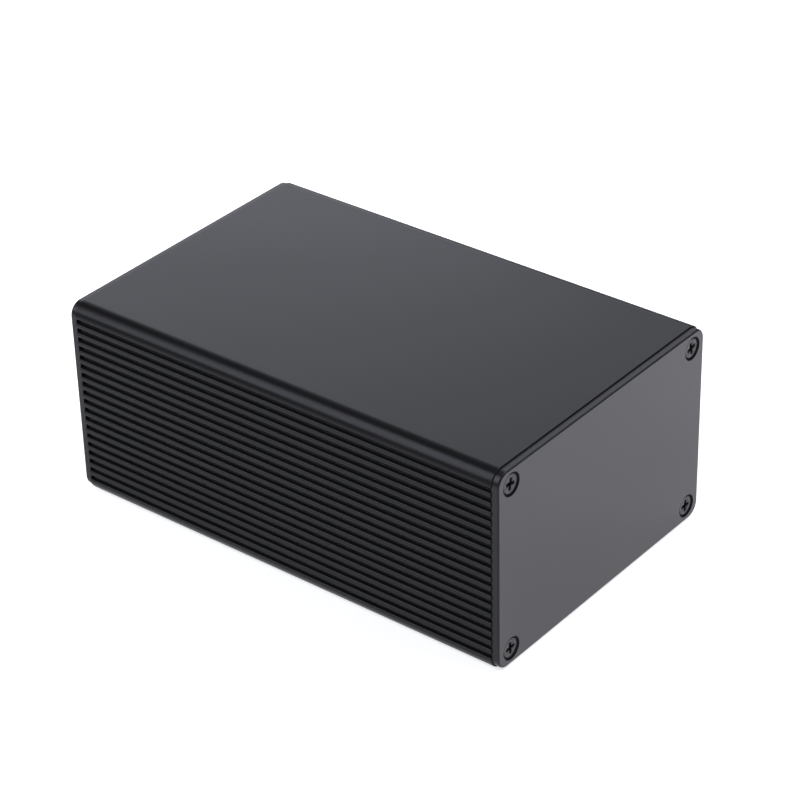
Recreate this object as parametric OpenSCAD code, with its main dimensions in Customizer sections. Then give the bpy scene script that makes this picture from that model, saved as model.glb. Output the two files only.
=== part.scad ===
// Black aluminium project box: two finned half shells, two end panels and the screws that hold them.
// The box stands on Z = 0 with its length along X. All sizes are in millimetres.

/* [Shells] */
// Length of the extruded shells
shell_l = 100; // [60:1:200]
// Width of the box over the fins
box_w = 66; // [56:1:120]
// Height of the closed box
box_h = 43; // [42:1:80]
// Radius of the four long outer edges
corner_r = 3; // [2:0.5:4]
// Thickness of the flat top and bottom plates
plate_t = 1.5; // [1.2:0.1:2]
// Thickness of the side walls behind the grooves
web_t = 1.4; // [1.2:0.1:2]

/* [Fins] */
// Distance from one fin to the next
fin_pitch = 2; // [1.8:0.1:4]
// Width of the grooves between the fins
groove_w = 1; // [0.6:0.1:1.2]
// Depth of the grooves
groove_d = 1; // [0.6:0.1:1.5]
// Radius of the edges of each fin
fin_r = 0.2; // [0.1:0.05:0.3]

/* [Joint of the shells] */
// Width of the rails on which the shells meet
rail_w = 3; // [2.6:0.1:4]
// Height of each rail
rail_h = 3; // [2.4:0.1:3.2]
// Thickness of the tongue that keys one shell to the other
tongue_w = 0.8; // [0.6:0.1:1]
// Height of the tongue above the joint
tongue_h = 1.5; // [1:0.1:1.8]
// Clearance round the tongue
tongue_gap = 0.1; // [0.05:0.05:0.2]

/* [Board slots] */
// Thickness of the circuit boards that slide in
board_t = 1.6; // [0.8:0.1:2]
// Clearance of a board in its slot
board_gap = 0.2; // [0.1:0.05:0.4]
// Slots in each side of each shell
slot_count = 2; // [1:1:2]
// Height of the first slot above the outside of the plate
slot_z = 9.2; // [8:0.1:9.5]
// Thickness of the ribs between the slots
rib_t = 1.2; // [1:0.1:1.4]
// Reach of the ribs from the side wall
rib_reach = 1.8; // [1.2:0.1:2.5]

/* [Screw channels] */
// Distance of the screws from the outside of the fins
screw_side = 4.2; // [4:0.1:5]
// Distance of the screws from the outside of the plates
screw_plate = 3.65; // [3.45:0.05:4.2]
// Bore of the channels
channel_d = 2.3; // [2.1:0.1:2.6]
// Wall round the bore
channel_wall = 1.2; // [1:0.1:1.6]
// Width of the opening along each channel
channel_mouth = 1; // [0.6:0.1:1.4]

/* [End panels] */
// Thickness of the panels
panel_t = 1.5; // [1.3:0.1:3]
// Distance of the panels' edges inside the shells' outline
panel_inset = 0.3; // [0:0.05:0.6]
// Edge break round the outer face
panel_edge = 0.25; // [0.05:0.05:0.4]

/* [Screws] */
// Diameter of the countersunk heads
head_d = 4.2; // [3.8:0.1:4.6]
// Depth of the heads below the panels' faces
head_sink = 0.25; // [0.1:0.05:0.5]
// Clearance between a head and its countersink
seat_gap = 0.05; // [0.02:0.01:0.1]
// Length of the screws with their heads
screw_l = 8; // [5:0.5:16]
// Clearance of the shanks in the channels
shank_gap = 0.05; // [0.02:0.01:0.15]
// Clearance of the shanks in the panels, which their threads pass
hole_gap = 0.35; // [0.3:0.05:0.4]
// Length of the cross recess from tip to tip at the head's face
recess_l = 2.6; // [2:0.1:2.8]
// Length of the cross recess at its floor
recess_floor = 1.2; // [0.8:0.1:1.6]
// Width of the arms of the cross
recess_w = 0.7; // [0.4:0.05:0.8]
// Depth of the recess
recess_d = 0.7; // [0.4:0.05:0.8]

/* [Hidden] */
$fn = 64;
// How far a cutter reaches past the face that it opens
over = 0.2;
seam_z = box_h / 2;
web_y = box_w / 2 - groove_d;
bay_y = web_y - web_t;
slot_h = board_t + board_gap;
channel_y = box_w / 2 - screw_side;
channel_r = channel_d / 2 + channel_wall;
tongue_y = web_y - rail_w / 2;
shank_d = channel_d - 2 * shank_gap;
hole_d = shank_d + 2 * hole_gap;
sink_d = head_d + 2 * head_sink + 2 * seat_gap;
// Grooves on each side of the one that hides the joint, with a groove that just fits still counted
just_fits = 0.001;
groove_steps = floor((seam_z - corner_r - groove_w / 2) / fin_pitch + just_fits);
// Direction in which the screw channels open, up and inwards
mouth_turn = 135;
// Turn of each cross recess, as the screws happened to stop
recess_turns = [-10, 13, 4, -2];
shell_colour = [0.09, 0.09, 0.1];
panel_colour = [0.13, 0.13, 0.14];
screw_colour = [0.2, 0.2, 0.21];

// Turns a drawing in the plane of the end panels, so that its thickness runs along X
module facing_x() {
    rotate([90, 0, 90]) children();
}

// Draws its children on both sides of the box
module both_sides() {
    children();
    mirror([1, 0]) children();
}

// What a rounded corner takes off a square one, with the arc's centre at the origin
module corner_waste(r) {
    difference() {
        square(r + over);
        circle(r);
    }
}

// Outline of the box, seen from its end, with its edges moved in by a given amount
module end_outline(inset) {
    r = corner_r - inset;
    size = [box_w - 2 * inset, box_h - 2 * inset];
    corners = [[1, 1], [-1, 1], [-1, -1], [1, -1]];
    translate([0, seam_z])
        difference() {
            square(size, center = true);
            for (i = [0 : len(corners) - 1])
                translate([corners[i].x * (size.x / 2 - r), corners[i].y * (size.y / 2 - r)])
                    rotate(90 * i) corner_waste(r);
        }
}

// One groove in the right side, with the rounded edges of the fins above and below it
module groove(z) {
    translate([box_w / 2, z]) {
        translate([-groove_d, -groove_w / 2]) square([groove_d + over, groove_w]);
        for (side = [0, 1])
            mirror([0, side]) translate([-fin_r, -groove_w / 2 - fin_r]) corner_waste(fin_r);
    }
}

// Block in the lower right corner that carries a screw channel
module channel_block() {
    low = [channel_y - channel_r, plate_t - over];
    high = [bay_y + over, screw_plate + channel_r];
    translate([channel_y, screw_plate]) circle(channel_r);
    translate(low) square([high.x - low.x, screw_plate - low.y]);
    translate([channel_y, low.y]) square([high.x - channel_y, high.y - low.y]);
}

// Bore of the channel and the opening that it has towards the middle of the box
module channel_bore() {
    translate([channel_y, screw_plate]) {
        circle(d = channel_d);
        rotate(mouth_turn) translate([0, -channel_mouth / 2]) square([2 * channel_r, channel_mouth]);
    }
}

// Ribs on the right side wall, with a board slot between each two
module board_ribs() {
    for (i = [0 : slot_count])
        translate([bay_y - rib_reach, slot_z - rib_t + i * (rib_t + slot_h)])
            square([rib_reach + over, rib_t]);
}

// Rail on the right on which the other shell stands
module seam_rail() {
    translate([web_y - rail_w, seam_z - rail_h]) square([rail_w, rail_h]);
}

// Section of the lower shell: plate, finned walls, channels, ribs, tongue on the left and slot on the right
module shell_section() {
    difference() {
        union() {
            difference() {
                end_outline(0);
                translate([-box_w, seam_z]) square([2 * box_w, box_h]);
                translate([-bay_y, plate_t]) square([2 * bay_y, box_h]);
            }
            both_sides() {
                channel_block();
                board_ribs();
                seam_rail();
            }
        }
        both_sides() {
            channel_bore();
            for (i = [0 : groove_steps]) groove(seam_z - i * fin_pitch);
        }
        translate([tongue_y - tongue_w / 2 - tongue_gap, seam_z - tongue_h - tongue_gap])
            square([tongue_w + 2 * tongue_gap, tongue_h + tongue_gap + over]);
    }
    translate([-tongue_y - tongue_w / 2, seam_z - over]) square([tongue_w, tongue_h + over]);
}

module lower_shell() {
    color(shell_colour) facing_x() linear_extrude(shell_l, center = true) shell_section();
}

// The upper shell is a second length of the same section, turned over
module upper_shell() {
    translate([0, 0, box_h]) rotate([180, 0, 0]) lower_shell();
}

// Draws its children at the four screws of one panel, each with its own turn
module at_screws() {
    places = [[-1, 1], [1, 1], [-1, -1], [1, -1]];
    for (i = [0 : len(places) - 1])
        translate([places[i].x * channel_y, seam_z + places[i].y * (seam_z - screw_plate)])
            rotate(recess_turns[i]) children();
}

// Plate of the panel's outline with broken edges round its outer face
module panel_blank() {
    r = corner_r - panel_inset;
    half = [box_w / 2 - panel_inset, seam_z - panel_inset];
    difference() {
        linear_extrude(panel_t) end_outline(panel_inset);
        translate([0, seam_z, panel_t - panel_edge])
            for (i = [0, 1], side = [0, 180])
                rotate(side) {
                    rotate(90 * i) translate([half[i], 0, 0]) side_break(2 * (half[1 - i] - r));
                    mirror([i, 0, 0]) translate([half.x - r, half.y - r, 0]) corner_break(r);
                }
    }
}

// Section of what the edge break takes off, with the edge's lower end at the origin
module edge_waste() {
    polygon([[over, -over], [over, panel_edge + over], [-panel_edge - over, panel_edge + over]]);
}

// What the edge break takes off a straight side of a given length
module side_break(l) {
    rotate([90, 0, 0]) linear_extrude(l, center = true) edge_waste();
}

// What the edge break takes off a rounded corner
module corner_break(r) {
    rotate_extrude(angle = 90) translate([r, 0]) edge_waste();
}

// Through hole with its countersink, cut from the inner face outwards
module screw_hole() {
    translate([0, 0, -over]) cylinder(h = panel_t + 2 * over, d = hole_d);
    translate([0, 0, panel_t - sink_d / 2]) cylinder(h = sink_d / 2 + over, r1 = 0, r2 = sink_d / 2 + over);
}

module right_end_panel() {
    color(panel_colour)
        translate([shell_l / 2, 0, 0])
            facing_x()
                difference() {
                    panel_blank();
                    at_screws() screw_hole();
                }
}

module left_end_panel() {
    mirror([1, 0, 0]) right_end_panel();
}

// One arm pair of the cross recess, with ends that slope in to its floor
module recess_slot() {
    rotate([90, 0, 0])
        linear_extrude(recess_w, center = true)
            polygon([
                [-recess_l / 2, over],
                [-recess_l / 2, 0],
                [-recess_floor / 2, -recess_d],
                [recess_floor / 2, -recess_d],
                [recess_l / 2, 0],
                [recess_l / 2, over],
            ]);
}

// Countersunk screw with its head's face at Z = 0 and its blunt tip below. The cone ends at the channel.
module screw() {
    cone_h = min((head_d - shank_d) / 2, panel_t - head_sink);
    tip_h = shank_d / 4;
    difference() {
        union() {
            translate([0, 0, -cone_h]) cylinder(h = cone_h, d1 = head_d - 2 * cone_h, d2 = head_d);
            translate([0, 0, tip_h - screw_l]) cylinder(h = screw_l - tip_h - cone_h, d = shank_d);
            translate([0, 0, -screw_l]) cylinder(h = tip_h, d1 = shank_d / 2, d2 = shank_d);
        }
        for (turn = [0, 90]) rotate(turn) recess_slot();
    }
}

module right_panel_screws() {
    color(screw_colour)
        translate([shell_l / 2 + panel_t - head_sink, 0, 0])
            facing_x()
                at_screws() screw();
}

module left_panel_screws() {
    mirror([1, 0, 0]) right_panel_screws();
}

lower_shell();
upper_shell();
right_end_panel();
left_end_panel();
right_panel_screws();
left_panel_screws();
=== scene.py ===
"""Visual model of a black aluminium project box: two finned half shells, two end panels and their screws.

Outlines lie in the plane of the end panels, as (Y, Z), and run anticlockwise seen from +X.
"""

import math

import bpy
import numpy as np
from bpy.props import FloatProperty, FloatVectorProperty, IntProperty, PointerProperty
from mathutils import Matrix, Vector
from mathutils.geometry import delaunay_2d_cdt


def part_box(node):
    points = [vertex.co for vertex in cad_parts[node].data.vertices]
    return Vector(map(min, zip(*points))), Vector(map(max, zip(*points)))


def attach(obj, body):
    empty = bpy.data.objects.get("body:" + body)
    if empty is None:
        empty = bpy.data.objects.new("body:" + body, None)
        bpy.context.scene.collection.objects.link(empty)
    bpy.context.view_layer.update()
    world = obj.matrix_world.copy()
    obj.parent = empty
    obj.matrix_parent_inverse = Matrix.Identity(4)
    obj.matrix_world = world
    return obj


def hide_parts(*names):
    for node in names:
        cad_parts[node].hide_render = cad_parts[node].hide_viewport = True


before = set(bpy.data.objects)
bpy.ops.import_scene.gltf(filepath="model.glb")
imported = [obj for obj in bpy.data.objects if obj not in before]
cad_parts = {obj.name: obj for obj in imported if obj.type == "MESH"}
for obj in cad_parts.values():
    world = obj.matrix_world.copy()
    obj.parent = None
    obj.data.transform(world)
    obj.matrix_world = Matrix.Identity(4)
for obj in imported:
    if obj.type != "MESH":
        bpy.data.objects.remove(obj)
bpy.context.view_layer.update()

bl_info = {
    "name": "Project Box",
    "version": (1, 0, 0),
    "blender": (4, 5, 0),
    "location": "View3D > Sidebar > Project Box",
    "description": "Finned aluminium project box with end panels and sunk screws",
    "category": "Add Mesh",
}

MM = 0.001
QUARTER = math.pi / 2
EIGHTH = math.pi / 4

# Points and steps along curves
ARC_POINTS = 9
CIRCLE_POINTS = 96
EDGE_STEPS = 5
RUN_STEPS = 21
CROSS_SIDE_POINTS = 8
CROSS_TIP_POINTS = 9
THREAD_STEPS = 12
RECESS_STEPS = 5
FLOOR_RINGS = 12

# Tolerances: for points that touch, for the same in a flat fill (in millimetres) and for counts of grooves
TOUCHING = 0.001 * MM
FILL_TOUCHING = 1e-6
COUNT_SLACK = 0.001

# Shape of the screw channels, as shares of the largest radius and bend that fit
BORE_ROUNDING = 0.98
BLOCK_BEND = 0.7

# Shape of the screws: the thread in pitches, the taper as a share of the arms' width, the turns in degrees
THREAD_WIDTH = 0.55
THREAD_RUNOUT = 0.6
RECESS_TAPER = 0.3
RECESS_TURNS = (-10.0, 13.0, 4.0, -2.0)
SHARP_ANGLE = math.radians(35)

# Place of a screw among a panel's four
LOWER_RIGHT = 3

# Places of the finishes in a piece's list
SAWN = 1
SUNK = 1
RIM = 2

# Finishes: noise in cells to the metre, lines in cells along each axis, index of refraction, shine, and edge
# lightening (partly wear, partly painted highlight)
CLOUD = 28.0
GRAIN = 5200.0
STEEL_PATCHES = 900.0
STEEL_GRAIN = 9000.0
DUST_AND_SHADE = 2500.0
FLOOR_CLOUD = 3.0
DRAWN = (14.0, 3200.0, 3200.0)
ROLLED = (900.0, 60.0, 2600.0)
RELIEF = 0.01 * MM
SHELL_INDEX = 1.24
RIM_INDEX = 1.28
PANEL_INDEX = 1.54
MATT_INDEX = 1.15
SHELL_SHINE = (0.94, 0.95, 1.0, 1.0)
PANEL_SHINE = (0.935, 0.92, 1.0, 1.0)
# Edge lightening of shells and panels, partly wear and partly painted highlight; edges with at most the
# radius below are lightened fully
SHELL_WEAR_AND_HIGHLIGHT = 2.0
PANEL_WEAR_AND_HIGHLIGHT = 1.0
WEAR_AND_HIGHLIGHT_RADIUS = 0.3 * MM

# Stage
WHITE = (1.0, 1.0, 1.0, 1.0)
COOL_LIGHT = (0.9, 0.915, 1.0)
LIGHT_DISTANCE = 1.0
FLOOR_GAP = 0.02 * MM
FLOOR_CORE = 0.02


def length(name, description, millimetres):
    """A length that is given in millimetres and kept in metres."""
    return FloatProperty(
        name=name,
        description=description,
        default=millimetres * MM,
        min=0.0,
        precision=5,
        subtype="DISTANCE",
        unit="LENGTH",
    )


def share(name, description, value):
    """A number from 0 to 1."""
    return FloatProperty(
        name=name, description=description, default=value, min=0.0, max=1.0, subtype="FACTOR"
    )


def angle(name, description, degrees):
    """An angle that is given in degrees and kept in radians."""
    return FloatProperty(
        name=name,
        description=description,
        default=math.radians(degrees),
        subtype="ANGLE",
        unit="ROTATION",
    )


def colour(name, description, value):
    """A linear colour."""
    return FloatVectorProperty(
        name=name, description=description, default=value, size=3, min=0.0, max=1.0, subtype="COLOR"
    )


class ShellSizes(bpy.types.PropertyGroup):
    """Sizes of the extruded half shells."""

    corner_radius: length("Corner radius", "Radius of the four long outer edges", 3.0)
    plate: length("Plate", "Thickness of the flat top and bottom plates", 1.5)
    web: length("Web", "Thickness of the side walls behind the grooves", 1.4)
    fin_pitch: length("Fin pitch", "Distance from one fin to the next", 2.0)
    groove_width: length("Groove width", "Width of the grooves between the fins", 1.0)
    groove_depth: length("Groove depth", "Depth of the grooves", 1.0)
    fin_radius: length("Fin radius", "Radius of the edges of each fin", 0.3)
    inner_radius: length("Inner radius", "Radius of the small inner corners", 0.15)
    rail_width: length("Rail width", "Width of the rails on which the shells meet", 3.0)
    rail_height: length("Rail height", "Height of each rail", 3.0)
    tongue_width: length("Tongue width", "Thickness of the tongue that keys the shells together", 0.8)
    tongue_height: length("Tongue height", "Height of the tongue above the joint", 1.5)
    tongue_gap: length("Tongue gap", "Clearance round the tongue", 0.1)
    slot_height: length("Slot height", "Height of the slots that circuit boards slide in", 1.8)
    slot_level: length("Slot level", "Height of the first slot above the outside of the plate", 9.2)
    slot_count: IntProperty(
        name="Slots", description="Slots in each side of each shell", default=2, min=1, max=2
    )
    rib_thickness: length("Rib thickness", "Thickness of the ribs between the slots", 1.2)
    rib_reach: length("Rib reach", "Reach of the ribs from the side wall", 1.8)
    channel_bore: length("Channel bore", "Bore of the screw channels", 2.3)
    channel_wall: length("Channel wall", "Wall round the bore", 1.2)
    channel_mouth: length("Channel mouth", "Width of the opening along each channel", 1.0)
    sawn_edge: length("Sawn edge", "Radius of the edges of the sawn ends", 0.06)


class PanelSizes(bpy.types.PropertyGroup):
    """Sizes of the end panels."""

    face_edge: length("Face edge", "Radius round the outer face", 0.35)
    back_edge: length("Back edge", "Radius round the inner face", 0.08)
    hole: length("Hole", "Diameter of the screw holes", 2.9)
    sink: length("Sink", "Diameter of the countersinks at the face", 4.8)
    sink_edge: length("Sink edge", "Radius of the edges of the holes", 0.08)


class ScrewSizes(bpy.types.PropertyGroup):
    """Sizes of the countersunk screws."""

    head: length("Head", "Diameter of the heads", 4.2)
    head_edge: length("Head edge", "Radius round the heads' faces", 0.1)
    core: length("Core", "Diameter of the thread's root", 2.2)
    crest: length("Crest", "Diameter of the thread's crest", 2.7)
    pitch: length("Pitch", "Distance from one turn of the thread to the next", 0.9)
    recess_length: length("Recess length", "Cross recess from tip to tip at the face", 2.6)
    recess_floor: length("Recess floor", "Cross recess from tip to tip at its floor", 1.2)
    recess_width: length("Recess width", "Width of the arms of the cross", 0.7)
    recess_depth: length("Recess depth", "Depth of the cross recess", 0.7)
    recess_edge: length("Recess edge", "Width of the broken edge round the cross", 0.06)


class Finishes(bpy.types.PropertyGroup):
    """Colours and gloss of the metal."""

    shell_colour: colour("Shell colour", "Black anodising of the shells", (0.008, 0.008, 0.0085))
    panel_colour: colour("Panel colour", "Black anodising of the panels", (0.012, 0.012, 0.013))
    screw_colour: colour("Screw colour", "Blackened steel of the screws", (0.05, 0.05, 0.052))
    shell_roughness: share("Shell roughness", "Roughness of the shells", 0.32)
    panel_roughness: share("Panel roughness", "Roughness of the panels", 0.32)
    screw_roughness: share("Screw roughness", "Roughness of the screws", 0.34)


class StageSettings(bpy.types.PropertyGroup):
    """Floor, light and camera."""

    floor_colour: colour("Floor colour", "Paint of the floor", (0.86, 0.86, 0.86))
    floor_radius: length("Floor radius", "Radius of the round floor", 400.0)
    floor_glow: FloatProperty(
        name="Floor glow", description="Light that shines up through the floor", default=0.62, min=0.0
    )
    azimuth: angle("Azimuth", "Camera's turn round the box from its finned side", 38.98)
    elevation: angle("Elevation", "Camera's height above the horizon", 31.74)
    roll: angle("Roll", "Camera's turn about its own axis", 1.41)
    distance: length("Distance", "Camera's distance from its target", 546.0)
    lens: FloatProperty(name="Lens", description="Focal length in millimetres", default=125.97, min=1.0)
    target: FloatVectorProperty(
        name="Target",
        description="Point that the camera looks at",
        default=(1.62 * MM, 2.41 * MM, 22.86 * MM),
        subtype="TRANSLATION",
        unit="LENGTH",
    )


class Surface:
    """Points, normals and faces of one piece, gathered from grids and flat faces."""

    def __init__(self):
        self.points = np.zeros((0, 3))
        self.normals = np.zeros((0, 3))
        self.edges = np.zeros(0)
        self.faces = []
        self.finishes = []

    def add(self, points, normals, edges):
        """Adds points and returns the number of the first."""
        first = len(self.points)
        self.points = np.concatenate([self.points, np.reshape(points, (-1, 3))])
        self.normals = np.concatenate([self.normals, np.reshape(normals, (-1, 3))])
        self.edges = np.concatenate([self.edges, np.ravel(edges)])
        return first

    def fill(self, faces, finish):
        """Adds faces with the finish of the given number."""
        self.faces += faces.tolist()
        self.finishes += [finish] * len(faces)

    def grid(self, points, normals, edges, finish=0):
        """Adds rings of points that are closed along their second index, and returns their numbers."""
        first = self.add(points, normals, edges)
        numbers = first + np.arange(points.shape[0] * points.shape[1]).reshape(points.shape[:2])
        ahead = np.roll(numbers, -1, axis=1)
        quads = np.stack([numbers[:-1], ahead[:-1], ahead[1:], numbers[1:]], axis=2)
        self.fill(quads.reshape(-1, 4), finish)
        return numbers

    def flat(self, loops, outward, finish=0):
        """Fills the plane between an outer loop and the loops of its round holes, facing +X or -X.

        A triangle between three points of one round hole lies in that hole, so it is left out.
        """
        numbers = np.concatenate(loops)
        owners = np.repeat(np.arange(len(loops)), [len(loop) for loop in loops])
        places = np.arange(len(numbers))
        rounds = [np.roll(places[owners == i], -1) for i in range(len(loops))]
        sides = np.stack([places, np.concatenate(rounds)], axis=1)
        flat = [Vector(point) for point in (self.points[numbers, 1:] / MM).tolist()]
        inside_only = 1
        triangles = np.array(delaunay_2d_cdt(flat, sides.tolist(), [], inside_only, FILL_TOUCHING)[2])
        held = owners[triangles]
        in_hole = (held > 0).all(axis=1) & (held == held[:, :1]).all(axis=1)
        filled = numbers[triangles[~in_hole]]
        self.fill(filled if outward > 0 else filled[:, ::-1], finish)

    def fan(self, ring, tip, finish=0):
        """Closes a ring with a point at its middle."""
        number = self.add([tip], np.zeros((1, 3)), [0.0])
        self.fill(np.stack([ring, np.roll(ring, -1), np.full(len(ring), number)], axis=1), finish)

    def piece(self, name, materials, slot, *nodes):
        """Makes the object, which rides on the box and stands for the given solids."""
        mesh = bpy.data.meshes.new(name)
        mesh.from_pydata(self.points.tolist(), [], self.faces)
        mesh.polygons.foreach_set("use_smooth", np.ones(len(self.faces), bool))
        mesh.normals_split_custom_set_from_vertices(self.normals.tolist())
        edge = mesh.attributes.new("edge", "FLOAT", "POINT")
        edge.data.foreach_set("value", self.edges.astype(np.float32))
        for material in materials:
            mesh.materials.append(material)
        mesh.polygons.foreach_set("material_index", self.finishes)
        made = bpy.data.objects.new(name, mesh)
        bpy.context.scene.collection.objects.link(made)
        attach(made, "root")
        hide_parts(*nodes)
        return made


def rounded(corners, radii):
    """Closed outline with each corner replaced by an arc that touches both of its sides.

    The arc's centre lies on the corner's bisector, inside a convex corner and outside a hollow one. The
    normal turns evenly from the one side's to the other's. The edge value rises over convex arcs, the
    more the sharper they are. Where two arcs touch, the point that they share is kept once.
    """
    corners = np.asarray(corners, float)
    radii = np.asarray(radii, float)
    ahead = np.roll(corners, -1, axis=0) - corners
    ahead /= np.linalg.norm(ahead, axis=1, keepdims=True)
    leaving = np.stack([ahead[:, 1], -ahead[:, 0]], axis=1)
    coming = np.roll(leaving, 1, axis=0)
    along = np.sum(coming * leaving, axis=1)
    turn = np.arctan2(coming[:, 0] * leaving[:, 1] - coming[:, 1] * leaving[:, 0], along)
    reach = np.sign(turn) * radii
    centres = corners - (reach / (1 + along))[:, None] * (coming + leaving)
    steps = np.linspace(0, 1, ARC_POINTS)
    headings = np.arctan2(coming[:, 1], coming[:, 0])[:, None] + turn[:, None] * steps
    normals = np.stack([np.cos(headings), np.sin(headings)], axis=2)
    points = (centres[:, None] + reach[:, None, None] * normals).reshape(-1, 2)
    sharp = np.where(turn > 0, np.clip(WEAR_AND_HIGHLIGHT_RADIUS / radii, 0.0, 1.0), 0.0)
    edges = sharp[:, None] * np.sin(np.pi * steps)
    apart = np.linalg.norm(points - np.roll(points, 1, axis=0), axis=1) > TOUCHING
    return points[apart], normals.reshape(-1, 2)[apart], edges.reshape(-1)[apart]


def round_hole(centre, radius):
    """Circle that runs clockwise, with normals towards its middle."""
    headings = -np.linspace(0, 2 * np.pi, CIRCLE_POINTS, endpoint=False)
    spokes = np.stack([np.cos(headings), np.sin(headings)], axis=1)
    return np.asarray(centre) + radius * spokes, -spokes, np.zeros(CIRCLE_POINTS)


def carried(outline, stations):
    """The outline carried along X: at each station (x, inset, tilt) it is moved in along its normals.

    The normals tilt towards +X by the station's tilt, and the edge value rises where they tilt.
    """
    points, normals, edges = outline
    x, inset, tilt = np.asarray(stations, float).T[:, :, None, None]
    shape = (len(x), len(points), 1)
    grid = np.concatenate([np.broadcast_to(x, shape), points - inset * normals], axis=2)
    turned = np.concatenate([np.broadcast_to(np.sin(tilt), shape), np.cos(tilt) * normals], axis=2)
    return grid, turned, np.maximum(edges, np.abs(np.sin(2 * tilt[:, :, 0])))


def edge_stations(x, inset, radius, start, stop):
    """Stations round an edge whose two sides meet at x and inset, with the tilt going from start to stop.

    The arc's centre lies on the edge's bisector, as in an outline's convex corner.
    """
    middle = (start + stop) / 2
    out = radius / math.cos((stop - start) / 2)
    tilts = np.linspace(start, stop, EDGE_STEPS)
    return np.stack(
        [
            x - out * math.sin(middle) + radius * np.sin(tilts),
            inset + out * math.cos(middle) - radius * np.cos(tilts),
            tilts,
        ],
        axis=1,
    )


def fin_corners(size, half_width, web, seam):
    """Corners and radii of a shell's outer side: the long edge, then the grooves up to the joint.

    The first groove's lip touches the long edge's arc where that dips a little below level.
    """
    fine = size.inner_radius
    half_groove = size.groove_width / 2
    big = size.corner_radius
    steps = int((seam - big - half_groove) / size.fin_pitch + COUNT_SLACK)
    first = seam - size.fin_pitch * steps - half_groove
    dip = math.asin(min(0.0, (first - size.fin_radius - big) / (big - size.fin_radius)))
    foot = half_width - big + big * (1 + math.sin(dip)) / math.cos(dip)
    lip = half_width - big + (big - (first - big) * math.sin(dip)) / math.cos(dip)
    corners = [(foot, 0.0, big)]
    for level in seam - size.fin_pitch * np.arange(steps, 0, -1):
        corners += [
            (half_width, level - half_groove, size.fin_radius),
            (web, level - half_groove, fine),
            (web, level + half_groove, fine),
            (half_width, level + half_groove, size.fin_radius),
        ]
    corners[1] = (lip, first, size.fin_radius)
    corners += [
        (half_width, seam - half_groove, size.fin_radius),
        (web, seam - half_groove, fine),
        (web, seam, fine),
    ]
    return corners


def rail_step(size, web, seam, half, end):
    """Corners and radii of a step in the rail's face, up to the tongue's top or down to the slot's floor."""
    middle = web - size.rail_width / 2
    route = ((1, seam), (1, end), (-1, end), (-1, seam))
    return [(middle + side * half, level, size.inner_radius) for side, level in route]


def channel_corners(size, bay, screw):
    """Corners and radii of a screw channel: from the side wall round the bore and down to the plate.

    The block's outer corner is an arc round the bore, cut by the mouth, which runs up and inwards at 45
    degrees. The bore is a square with fully rounded corners, whose fourth corner is the mouth.
    """
    fine = size.inner_radius
    y, z = screw
    bore = size.channel_bore / 2
    block = bore + size.channel_wall
    half_mouth = size.channel_mouth / 2
    lip = math.sqrt(block**2 - half_mouth**2)
    step = bore - half_mouth * math.sqrt(2)
    nearly_round = BORE_ROUNDING * bore
    bend = BLOCK_BEND * (EIGHTH - math.asin(half_mouth / block))
    reach = block / math.cos(bend / 2)
    along = np.array([-1.0, 1.0]) / math.sqrt(2)
    across = np.array([1.0, 1.0]) / math.sqrt(2)
    above = np.array(screw) + lip * along + half_mouth * across
    below = np.array(screw) + lip * along - half_mouth * across
    return [
        (bay, z + block, fine),
        (y - reach * math.sin(bend / 2), z + reach * math.cos(bend / 2), block),
        (*above, fine),
        (y - step, z + bore, fine),
        (y + bore, z + bore, nearly_round),
        (y + bore, z - bore, nearly_round),
        (y - bore, z - bore, nearly_round),
        (y - bore, z + step, fine),
        (*below, fine),
        (y - reach * math.cos(bend / 2), z + reach * math.sin(bend / 2), block),
        (y - block, size.plate, fine),
    ]


def bay_corners(size, web, seam, screw):
    """Corners and radii of a shell's inner side: down the rail, round the ribs, then the screw channel."""
    fine = size.inner_radius
    bay = web - size.web
    rail = web - size.rail_width
    rail_foot = seam - size.rail_height
    corners = [(rail, seam, fine), (rail, rail_foot, fine), (bay, rail_foot, fine)]
    for i in range(size.slot_count, -1, -1):
        foot = size.slot_level - size.rib_thickness + i * (size.rib_thickness + size.slot_height)
        corners += [
            (bay, foot + size.rib_thickness, fine),
            (bay - size.rib_reach, foot + size.rib_thickness, fine),
            (bay - size.rib_reach, foot, fine),
            (bay, foot, fine),
        ]
    return corners + channel_corners(size, bay, screw)


def shell_corners(size, half_width, seam, screw):
    """Corners and radii of the lower shell's section, from its lower right edge up and round inside.

    The left half repeats the right one in reverse, with a tongue on its rail in place of the slot.
    """
    web = half_width - size.groove_depth
    half, height, gap = size.tongue_width / 2, size.tongue_height, size.tongue_gap
    outside = fin_corners(size, half_width, web, seam)
    tongue = rail_step(size, web, seam, half, seam + height)
    slot = rail_step(size, web, seam, half + gap, seam - height - gap)
    inside = bay_corners(size, web, seam, screw)
    left = outside + tongue + inside
    return np.array(outside + slot + inside + [(-y, z, r) for y, z, r in reversed(left)])


def hole_stations(size, back, face):
    """Stations of a screw hole from the inner face out: a straight bore and a countersink of 45 degrees."""
    sink = (size.sink - size.hole) / 2
    return np.concatenate(
        [
            edge_stations(back, 0.0, size.sink_edge, -QUARTER, 0.0),
            edge_stations(face - sink, 0.0, size.sink_edge, 0.0, EIGHTH),
            edge_stations(face, sink, size.sink_edge, EIGHTH, QUARTER),
        ]
    )


def screw_places(head):
    """Middles of the four screws of a panel, as (Y, Z): left and right at the top, then at the bottom."""
    low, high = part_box("right_panel_screws")
    right = high.y - head / 2
    return [(y, z) for z in (high.z - head / 2, low.z + head / 2) for y in (-right, right)]


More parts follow.
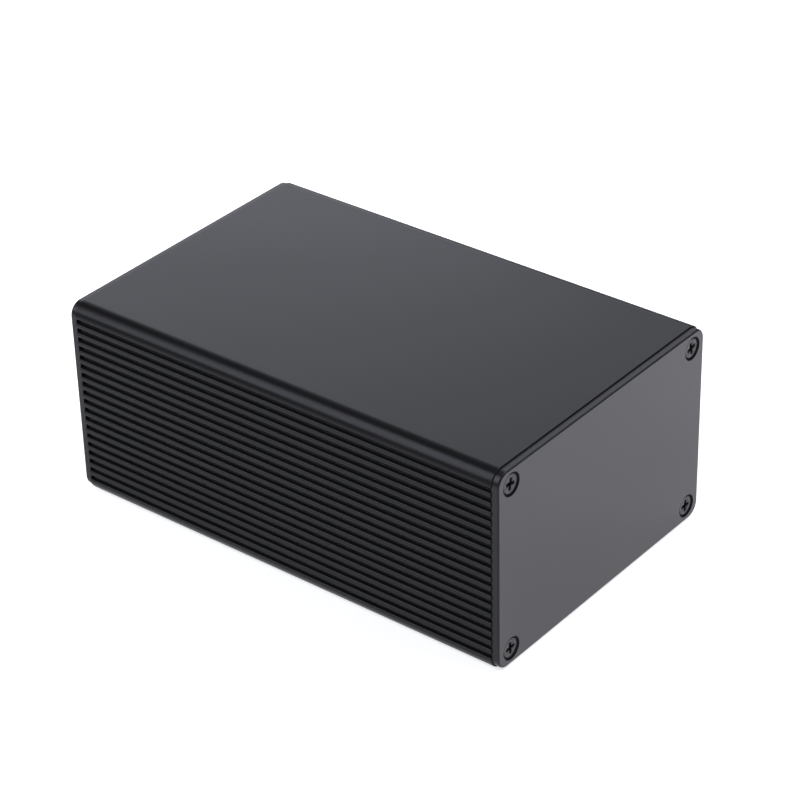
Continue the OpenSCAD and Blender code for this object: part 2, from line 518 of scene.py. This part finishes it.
def cross(half_length, half_width):
    """Outline of a cross with round-ended arms, from the inner corner before the first arm.

    An arm's side is sampled evenly by its angle from the middle, and its end is a half circle.
    """
    shoulder = half_length - half_width
    turns = np.linspace(EIGHTH, math.atan2(half_width, shoulder), CROSS_SIDE_POINTS)
    side = np.stack([half_width / np.tan(turns), np.full(CROSS_SIDE_POINTS, half_width)], axis=1)
    swing = np.linspace(-QUARTER, QUARTER, CROSS_TIP_POINTS + 2)[1:-1]
    tip = np.stack([shoulder + half_width * np.cos(swing), half_width * np.sin(swing)], axis=1)
    arm = np.concatenate([side * (1.0, -1.0), tip, side[:0:-1]])
    quarter_turns = np.array([[[1, 0], [0, 1]], [[0, 1], [-1, 0]], [[-1, 0], [0, -1]], [[0, -1], [1, 0]]])
    return (arm @ quarter_turns).reshape(-1, 2)


def screw_rings(size, whole):
    """Rings of a screw along X, from its tip at -whole to its head's face at 0 and into the recess.

    The thread is a ridge on the core whose place along X follows the turn, once for each pitch. The head
    is a cone of 45 degrees, and the recess is a cross that narrows towards its floor.
    """
    mouth = cross(size.recess_length / 2, size.recess_width / 2)
    spokes = mouth / np.linalg.norm(mouth, axis=1, keepdims=True)
    core = size.core / 2
    head = size.head / 2
    cone = head - core
    tip = core / 2
    count = int(THREAD_STEPS * (whole - cone) / size.pitch)
    along = np.linspace(-whole, -cone, count)[:, None]
    turns = np.arctan2(spokes[:, 1], spokes[:, 0]) / (2 * math.pi)
    phase = np.abs((along / size.pitch - turns) % 1.0 - 0.5) * 2
    rise = np.clip((along + whole) / size.pitch, 0.0, 1.0)
    fade = rise * np.clip((-cone - along) / (THREAD_RUNOUT * size.pitch), 0.0, 1.0)
    ridge = np.clip(1.0 - phase / THREAD_WIDTH, 0.0, 1.0) * fade * (size.crest / 2 - core)
    taper = np.clip((along + whole) / tip, 0.0, 1.0) * tip - tip
    radii = core + taper + ridge
    rings = [(x, r[:, None] * spokes) for x, r in zip(along[:, 0], radii)]
    for x, inset, _tilt in edge_stations(0.0, 0.0, size.head_edge, -EIGHTH, QUARTER):
        rings.append((x, (head - inset) * spokes))
    lip = size.recess_edge
    rings.append((0.0, cross(size.recess_length / 2 + lip, size.recess_width / 2 + lip)))
    for depth in np.linspace(0.0, 1.0, RECESS_STEPS):
        reach = size.recess_length + depth * (size.recess_floor - size.recess_length)
        arm = size.recess_width * (1 - RECESS_TAPER * depth)
        rings.append((-lip - depth * (size.recess_depth - lip), cross(reach / 2, arm / 2)))
    return np.stack([np.concatenate([np.full((len(ring), 1), x), ring], axis=1) for x, ring in rings])


class Value:
    """A socket that takes part in Python arithmetic."""

    def __init__(self, graph, socket):
        self.graph = graph
        self.socket = socket

    def __add__(self, other):
        return self.graph.math("ADD", self, other)

    def __sub__(self, other):
        return self.graph.math("SUBTRACT", self, other)

    def __mul__(self, other):
        return self.graph.math("MULTIPLY", self, other)

    __radd__ = __add__


class Graph:
    """The node tree of one material."""

    def __init__(self, name):
        self.material = bpy.data.materials.new(name)
        self.material.use_nodes = True
        self.tree = self.material.node_tree
        self.tree.nodes.clear()
        self.place = self.node("ShaderNodeTexCoord", output="Object")

    def node(self, kind, settings=None, inputs=None, output=0):
        """Adds a node, sets it up and joins its sockets, and returns one of its outputs."""
        made = self.tree.nodes.new(kind)
        for name, value in (settings or {}).items():
            setattr(made, name, value)
        for name, value in (inputs or {}).items():
            if isinstance(value, Value):
                self.tree.links.new(value.socket, made.inputs[name])
            else:
                made.inputs[name].default_value = value
        return Value(self, made.outputs[output]) if len(made.outputs) else None

    def math(self, operation, *values):
        """Adds a Math node."""
        return self.node("ShaderNodeMath", {"operation": operation}, dict(enumerate(values)))

    def noise(self, scale, detail, stretch=(1.0, 1.0, 1.0)):
        """Noise of so many cells to the metre, stretched along each axis."""
        moved = self.node("ShaderNodeMapping", {}, {"Vector": self.place, "Scale": stretch})
        return self.node("ShaderNodeTexNoise", {}, {"Vector": moved, "Scale": scale, "Detail": detail})

    def mix(self, factor, dark, light):
        """Colour between two colours, which are the node's inputs 6 and 7. Its output 2 is a colour too."""
        return self.node("ShaderNodeMix", {"data_type": "RGBA"}, {0: factor, 6: dark, 7: light}, 2)

    def bump(self, strength, height):
        """Normal of a fine relief of the given height."""
        inputs = {"Strength": strength, "Distance": RELIEF, "Height": height}
        return self.node("ShaderNodeBump", {}, inputs)

    def finish(self, inputs):
        """Adds the shader and the output, and returns the material."""
        shader = self.node("ShaderNodeBsdfPrincipled", {}, inputs)
        self.node("ShaderNodeOutputMaterial", {}, {"Surface": shader})
        return self.material


def tint(value, factor):
    """The colour times a factor, with its alpha."""
    return (*(min(1.0, c * factor) for c in value), 1.0)


def anodised(name, base, roughness, index, shine, stretch, worn_and_highlit):
    """Black anodised aluminium: slow clouds, fine lines the way it was drawn or rolled, and a matt grain.

    Sharp edges have the base colour times the given factor: partly wear, partly a painted highlight along
    the fins' edges.
    """
    graph = Graph(name)
    cloud = graph.noise(CLOUD, 3.0)
    lines = graph.noise(1.0, 3.0, stretch)
    grain = graph.noise(GRAIN, 1.0)
    edge = graph.node("ShaderNodeAttribute", {"attribute_name": "edge"}, output="Fac")
    body = graph.mix(cloud * 0.6 + lines * 0.4, tint(base, 0.75), tint(base, 1.3))
    return graph.finish(
        {
            # Sharp edges lightened: partly wear, partly painted highlight
            "Base Color": graph.mix(edge * edge * (cloud + 0.4), body, tint(base, worn_and_highlit)),
            "Roughness": roughness + (cloud - 0.5) * 0.08 + (lines - 0.5) * 0.03,
            "IOR": index,
            "Specular Tint": shine,
            "Normal": graph.bump(0.2, lines * 0.15 + grain * 0.8),
        }
    )


def blackened(name, base, roughness):
    """Blackened steel: a patchy and slightly shiny finish."""
    graph = Graph(name)
    patches = graph.noise(STEEL_PATCHES, 4.0)
    grain = graph.noise(STEEL_GRAIN, 1.0)
    return graph.finish(
        {
            "Base Color": graph.mix(patches, tint(base, 0.6), tint(base, 1.5)),
            "Roughness": roughness + (patches - 0.5) * 0.2,
            "Metallic": 0.6,
            "Normal": graph.bump(0.3, patches + grain * 0.4),
        }
    )


def matt(name, base):
    """Dull black of the sawn ends, countersinks and recesses, with a patchy tone; in the countersinks and
    recesses it is painted shade, darker than the metal round it.
    """
    graph = Graph(name)
    dust_and_shade = graph.noise(DUST_AND_SHADE, 3.0)
    return graph.finish(
        {
            # 0.3 to 0.9 of the given colour: painted shade in the countersinks and recesses
            "Base Color": graph.mix(dust_and_shade, tint(base, 0.3), tint(base, 0.9)),
            "Roughness": 0.5 + dust_and_shade * 0.2,
            "IOR": MATT_INDEX,
        }
    )


def lit_floor(name, base, glow):
    """White floor that is lit from below as well, with a trace of cloud."""
    graph = Graph(name)
    cloud = graph.noise(FLOOR_CLOUD, 2.0)
    return graph.finish(
        {
            "Base Color": graph.mix(cloud, tint(base, 0.99), tint(base, 1.01)),
            "Roughness": 0.9,
            "Emission Color": WHITE,
            "Emission Strength": glow,
        }
    )


class PROJECTBOX_OT_shells(bpy.types.Operator):
    """Builds the two half shells as one section carried along the box's length"""

    bl_idname = "project_box.shells"
    bl_label = "Half Shells"

    def execute(self, context):
        size = context.scene.project_box_shell
        finish = context.scene.project_box_finish
        low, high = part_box("lower_shell")
        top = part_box("upper_shell")[1].z
        screw = screw_places(context.scene.project_box_screw.head)[LOWER_RIGHT]
        corners = shell_corners(size, high.y, top / 2, screw)
        run = np.linspace(low.x, high.x, RUN_STEPS + 1)[1:-1, None] * (1.0, 0.0, 0.0)
        stations = np.concatenate(
            [
                edge_stations(low.x, 0.0, size.sawn_edge, -QUARTER, 0.0),
                run,
                edge_stations(high.x, 0.0, size.sawn_edge, 0.0, QUARTER),
            ]
        )
        points, normals, edges = carried(rounded(corners[:, :2], corners[:, 2]), stations)
        base, roughness = finish.shell_colour, finish.shell_roughness
        skin = anodised(
            "black_anodised_shell", base, roughness, SHELL_INDEX, SHELL_SHINE, DRAWN, SHELL_WEAR_AND_HIGHLIGHT
        )
        sawn = matt("sawn_end", finish.screw_colour)
        for name, turn, lift in (("lower_shell", (1, 1, 1), 0.0), ("upper_shell", (1, -1, -1), top)):
            surface = Surface()
            rings = surface.grid(points * turn + (0.0, 0.0, lift), normals * turn, edges)
            surface.flat([rings[0]], -1, SAWN)
            surface.flat([rings[-1]], 1, SAWN)
            surface.piece("finned_" + name, [skin, sawn], "shell", name)
        return {"FINISHED"}


class PROJECTBOX_OT_end_panels(bpy.types.Operator):
    """Builds the end panels: a rim carried round the outline and four countersunk holes"""

    bl_idname = "project_box.end_panels"
    bl_label = "End Panels"

    def execute(self, context):
        size = context.scene.project_box_panel
        finish = context.scene.project_box_finish
        low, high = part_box("right_end_panel")
        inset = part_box("lower_shell")[1].y - high.y
        radius = context.scene.project_box_shell.corner_radius - inset
        corners = [(high.y, low.z), (high.y, high.z), (low.y, high.z), (low.y, low.z)]
        stations = np.concatenate(
            [
                edge_stations(low.x, 0.0, size.back_edge, -QUARTER, 0.0),
                edge_stations(high.x, 0.0, size.face_edge, 0.0, QUARTER),
            ]
        )
        outer = carried(rounded(corners, [radius] * len(corners)), stations)
        bore = hole_stations(size, low.x, high.x)
        places = screw_places(context.scene.project_box_screw.head)
        holes = [carried(round_hole(place, size.hole / 2), bore) for place in places]
        base, roughness = finish.panel_colour, finish.panel_roughness
        skin = anodised(
            "black_anodised_panel", base, roughness, PANEL_INDEX, PANEL_SHINE, ROLLED, PANEL_WEAR_AND_HIGHLIGHT
        )
        rim = anodised("black_anodised_rim", base, roughness, RIM_INDEX, SHELL_SHINE, ROLLED, PANEL_WEAR_AND_HIGHLIGHT)
        # The countersinks are darker than the panel: painted shade
        sunk = matt("painted_shade_countersink", base)
        for name, side in (("right_end_panel", 1), ("left_end_panel", -1)):
            surface = Surface()
            turn = (side, side, 1)
            loops = [
                surface.grid(points * turn, normals * turn, edges, number)
                for (points, normals, edges), number in zip([outer, *holes], [RIM] + [SUNK] * len(holes))
            ]
            surface.flat([loop[0] for loop in loops], -side)
            surface.flat([loop[-1] for loop in loops], side)
            surface.piece("plain_" + name, [skin, sunk, rim], "panel", name)
        return {"FINISHED"}


class PROJECTBOX_OT_screws(bpy.types.Operator):
    """Builds the screws of both panels, each with its cross recess as it happened to stop"""

    bl_idname = "project_box.screws"
    bl_label = "Panel Screws"

    def execute(self, context):
        size = context.scene.project_box_screw
        finish = context.scene.project_box_finish
        low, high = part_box("right_panel_screws")
        rings = screw_rings(size, high.x - low.x)
        steel = blackened("blackened_screws", finish.screw_colour, finish.screw_roughness)
        # The recesses are far darker than the steel: painted shade
        sunk = matt("painted_shade_recess", finish.panel_colour)
        for name, side in (("right_panel_screws", 1), ("left_panel_screws", -1)):
            surface = Surface()
            for (y, z), stop in zip(screw_places(size.head), RECESS_TURNS):
                c, s = math.cos(math.radians(side * stop)), math.sin(math.radians(side * stop))
                spin = np.array([[1, 0, 0], [0, c, s], [0, -s, c]])
                points = (rings @ spin) * (side, side, 1) + (side * high.x, y, z)
                first = len(surface.finishes)
                placed = surface.grid(points, np.zeros_like(points), np.zeros(points.shape[:2]))
                # The recess rings and its floor take the painted shade
                recess = first + (len(points) - RECESS_STEPS) * points.shape[1]
                surface.finishes[recess:] = [SUNK] * (len(surface.finishes) - recess)
                surface.fan(placed[0, ::-1], points[0].mean(axis=0))
                surface.fan(placed[-1], points[-1].mean(axis=0), SUNK)
            made = surface.piece("cross_head_" + name, [steel, sunk], "screw", name)
            made.data.set_sharp_from_angle(angle=SHARP_ANGLE)
        return {"FINISHED"}


def direction(azimuth, elevation):
    """Unit vector from the box. Azimuth 0 is over the finned side, and 90 degrees over the right panel."""
    flat = math.cos(elevation)
    return Vector((math.sin(azimuth) * flat, -math.cos(azimuth) * flat, math.sin(elevation)))


def soft_box(name, azimuth, elevation, width, height, power):
    """A light on a sphere round the box, facing its middle."""
    away = direction(math.radians(azimuth), math.radians(elevation))
    lamp = bpy.data.lights.new(name, "AREA")
    lamp.shape = "RECTANGLE"
    lamp.size = width
    lamp.size_y = height
    lamp.color = COOL_LIGHT
    lamp.energy = power
    made = bpy.data.objects.new(name, lamp)
    facing = away.to_track_quat("Z", "Y").to_matrix().to_4x4()
    made.matrix_world = Matrix.Translation(away * LIGHT_DISTANCE) @ facing
    made.visible_camera = False
    bpy.context.scene.collection.objects.link(made)


class PROJECTBOX_OT_stage(bpy.types.Operator):
    """Sets up the floor, the light and the camera"""

    bl_idname = "project_box.stage"
    bl_label = "Stage"

    def execute(self, context):
        stage = context.scene.project_box_stage
        self.floor(stage)
        self.light(context.scene)
        self.camera(context.scene, stage)
        return {"FINISHED"}

    def floor(self, stage):
        """A round floor just under the box: rings that widen from its middle."""
        spokes = np.exp(1j * np.linspace(0, 2 * np.pi, CIRCLE_POINTS, endpoint=False))
        rings = np.linspace(FLOOR_CORE, 1.0, FLOOR_RINGS)[:, None] * stage.floor_radius * spokes
        level = np.full(rings.shape, -FLOOR_GAP)
        points = np.stack([rings.real, rings.imag, level], axis=2).reshape(-1, 3)
        numbers = np.arange(rings.size).reshape(rings.shape)
        ahead = np.roll(numbers, -1, axis=1)
        quads = np.stack([numbers[:-1], numbers[1:], ahead[1:], ahead[:-1]], axis=2).reshape(-1, 4)
        mesh = bpy.data.meshes.new("floor")
        mesh.from_pydata(points.tolist(), [], quads.tolist() + [numbers[0].tolist()])
        mesh.materials.append(lit_floor("lit_floor", stage.floor_colour, stage.floor_glow))
        made = bpy.data.objects.new("floor", mesh)
        bpy.context.scene.collection.objects.link(made)

    def light(self, scene):
        """Soft boxes round the object, and a white sky that only the camera sees."""
        scene.view_settings.view_transform = "Standard"
        world = bpy.data.worlds.new("studio")
        world.use_nodes = True
        world.node_tree.nodes["Background"].inputs["Color"].default_value = WHITE
        scene.world = world
        world.cycles_visibility.diffuse = False
        world.cycles_visibility.glossy = False
        soft_box("key", azimuth=323.0, elevation=38.0, width=0.42, height=0.72, power=6.6)
        soft_box("back_left", azimuth=165.0, elevation=55.0, width=0.7, height=0.7, power=3.0)
        soft_box("back_right", azimuth=130.0, elevation=58.0, width=0.7, height=0.7, power=4.9)
        soft_box("back", azimuth=222.0, elevation=32.0, width=0.78, height=0.5, power=2.4)
        soft_box("back_low", azimuth=228.0, elevation=20.0, width=0.5, height=0.21, power=0.95)
        soft_box("front", azimuth=40.0, elevation=32.0, width=0.78, height=0.5, power=1.3)

    def camera(self, scene, stage):
        """A camera on a sphere round its target, rolled about its own axis."""
        back = direction(stage.azimuth, stage.elevation)
        level = Vector((math.cos(stage.azimuth), math.sin(stage.azimuth), 0.0))
        turn = Matrix.Rotation(-stage.roll, 3, back)
        axes = Matrix((turn @ level, turn @ back.cross(level), back)).transposed().to_4x4()
        lens = bpy.data.cameras.new("camera")
        lens.lens = stage.lens
        made = bpy.data.objects.new("camera", lens)
        made.matrix_world = Matrix.Translation(Vector(stage.target) + stage.distance * back) @ axes
        scene.collection.objects.link(made)
        scene.camera = made


class PROJECTBOX_PT_sidebar(bpy.types.Panel):
    """Lists the pieces of the box and their settings"""

    bl_idname = "PROJECTBOX_PT_sidebar"
    bl_label = "Project Box"
    bl_space_type = "VIEW_3D"
    bl_region_type = "UI"
    bl_category = "Project Box"

    def draw(self, context):
        for operator in OPERATORS:
            self.layout.operator(operator.bl_idname)
        for name, group in GROUPS.items():
            box = self.layout.box()
            for key in group.__annotations__:
                box.prop(getattr(context.scene, name), key)


GROUPS = {
    "project_box_shell": ShellSizes,
    "project_box_panel": PanelSizes,
    "project_box_screw": ScrewSizes,
    "project_box_finish": Finishes,
    "project_box_stage": StageSettings,
}
OPERATORS = (PROJECTBOX_OT_stage, PROJECTBOX_OT_shells, PROJECTBOX_OT_end_panels, PROJECTBOX_OT_screws)


def register():
    """Registers the classes and hangs the settings on the scene."""
    for made in (*GROUPS.values(), *OPERATORS, PROJECTBOX_PT_sidebar):
        bpy.utils.register_class(made)
    for name, group in GROUPS.items():
        setattr(bpy.types.Scene, name, PointerProperty(type=group))


def unregister():
    """Takes the settings and the classes away again."""
    for name in GROUPS:
        delattr(bpy.types.Scene, name)
    for made in (PROJECTBOX_PT_sidebar, *reversed(OPERATORS), *reversed(GROUPS.values())):
        bpy.utils.unregister_class(made)


def main():
    """Builds the stage and the box."""
    register()
    bpy.ops.project_box.stage()
    bpy.ops.project_box.shells()
    bpy.ops.project_box.end_panels()
    bpy.ops.project_box.screws()


if __name__ == "__main__":
    main()
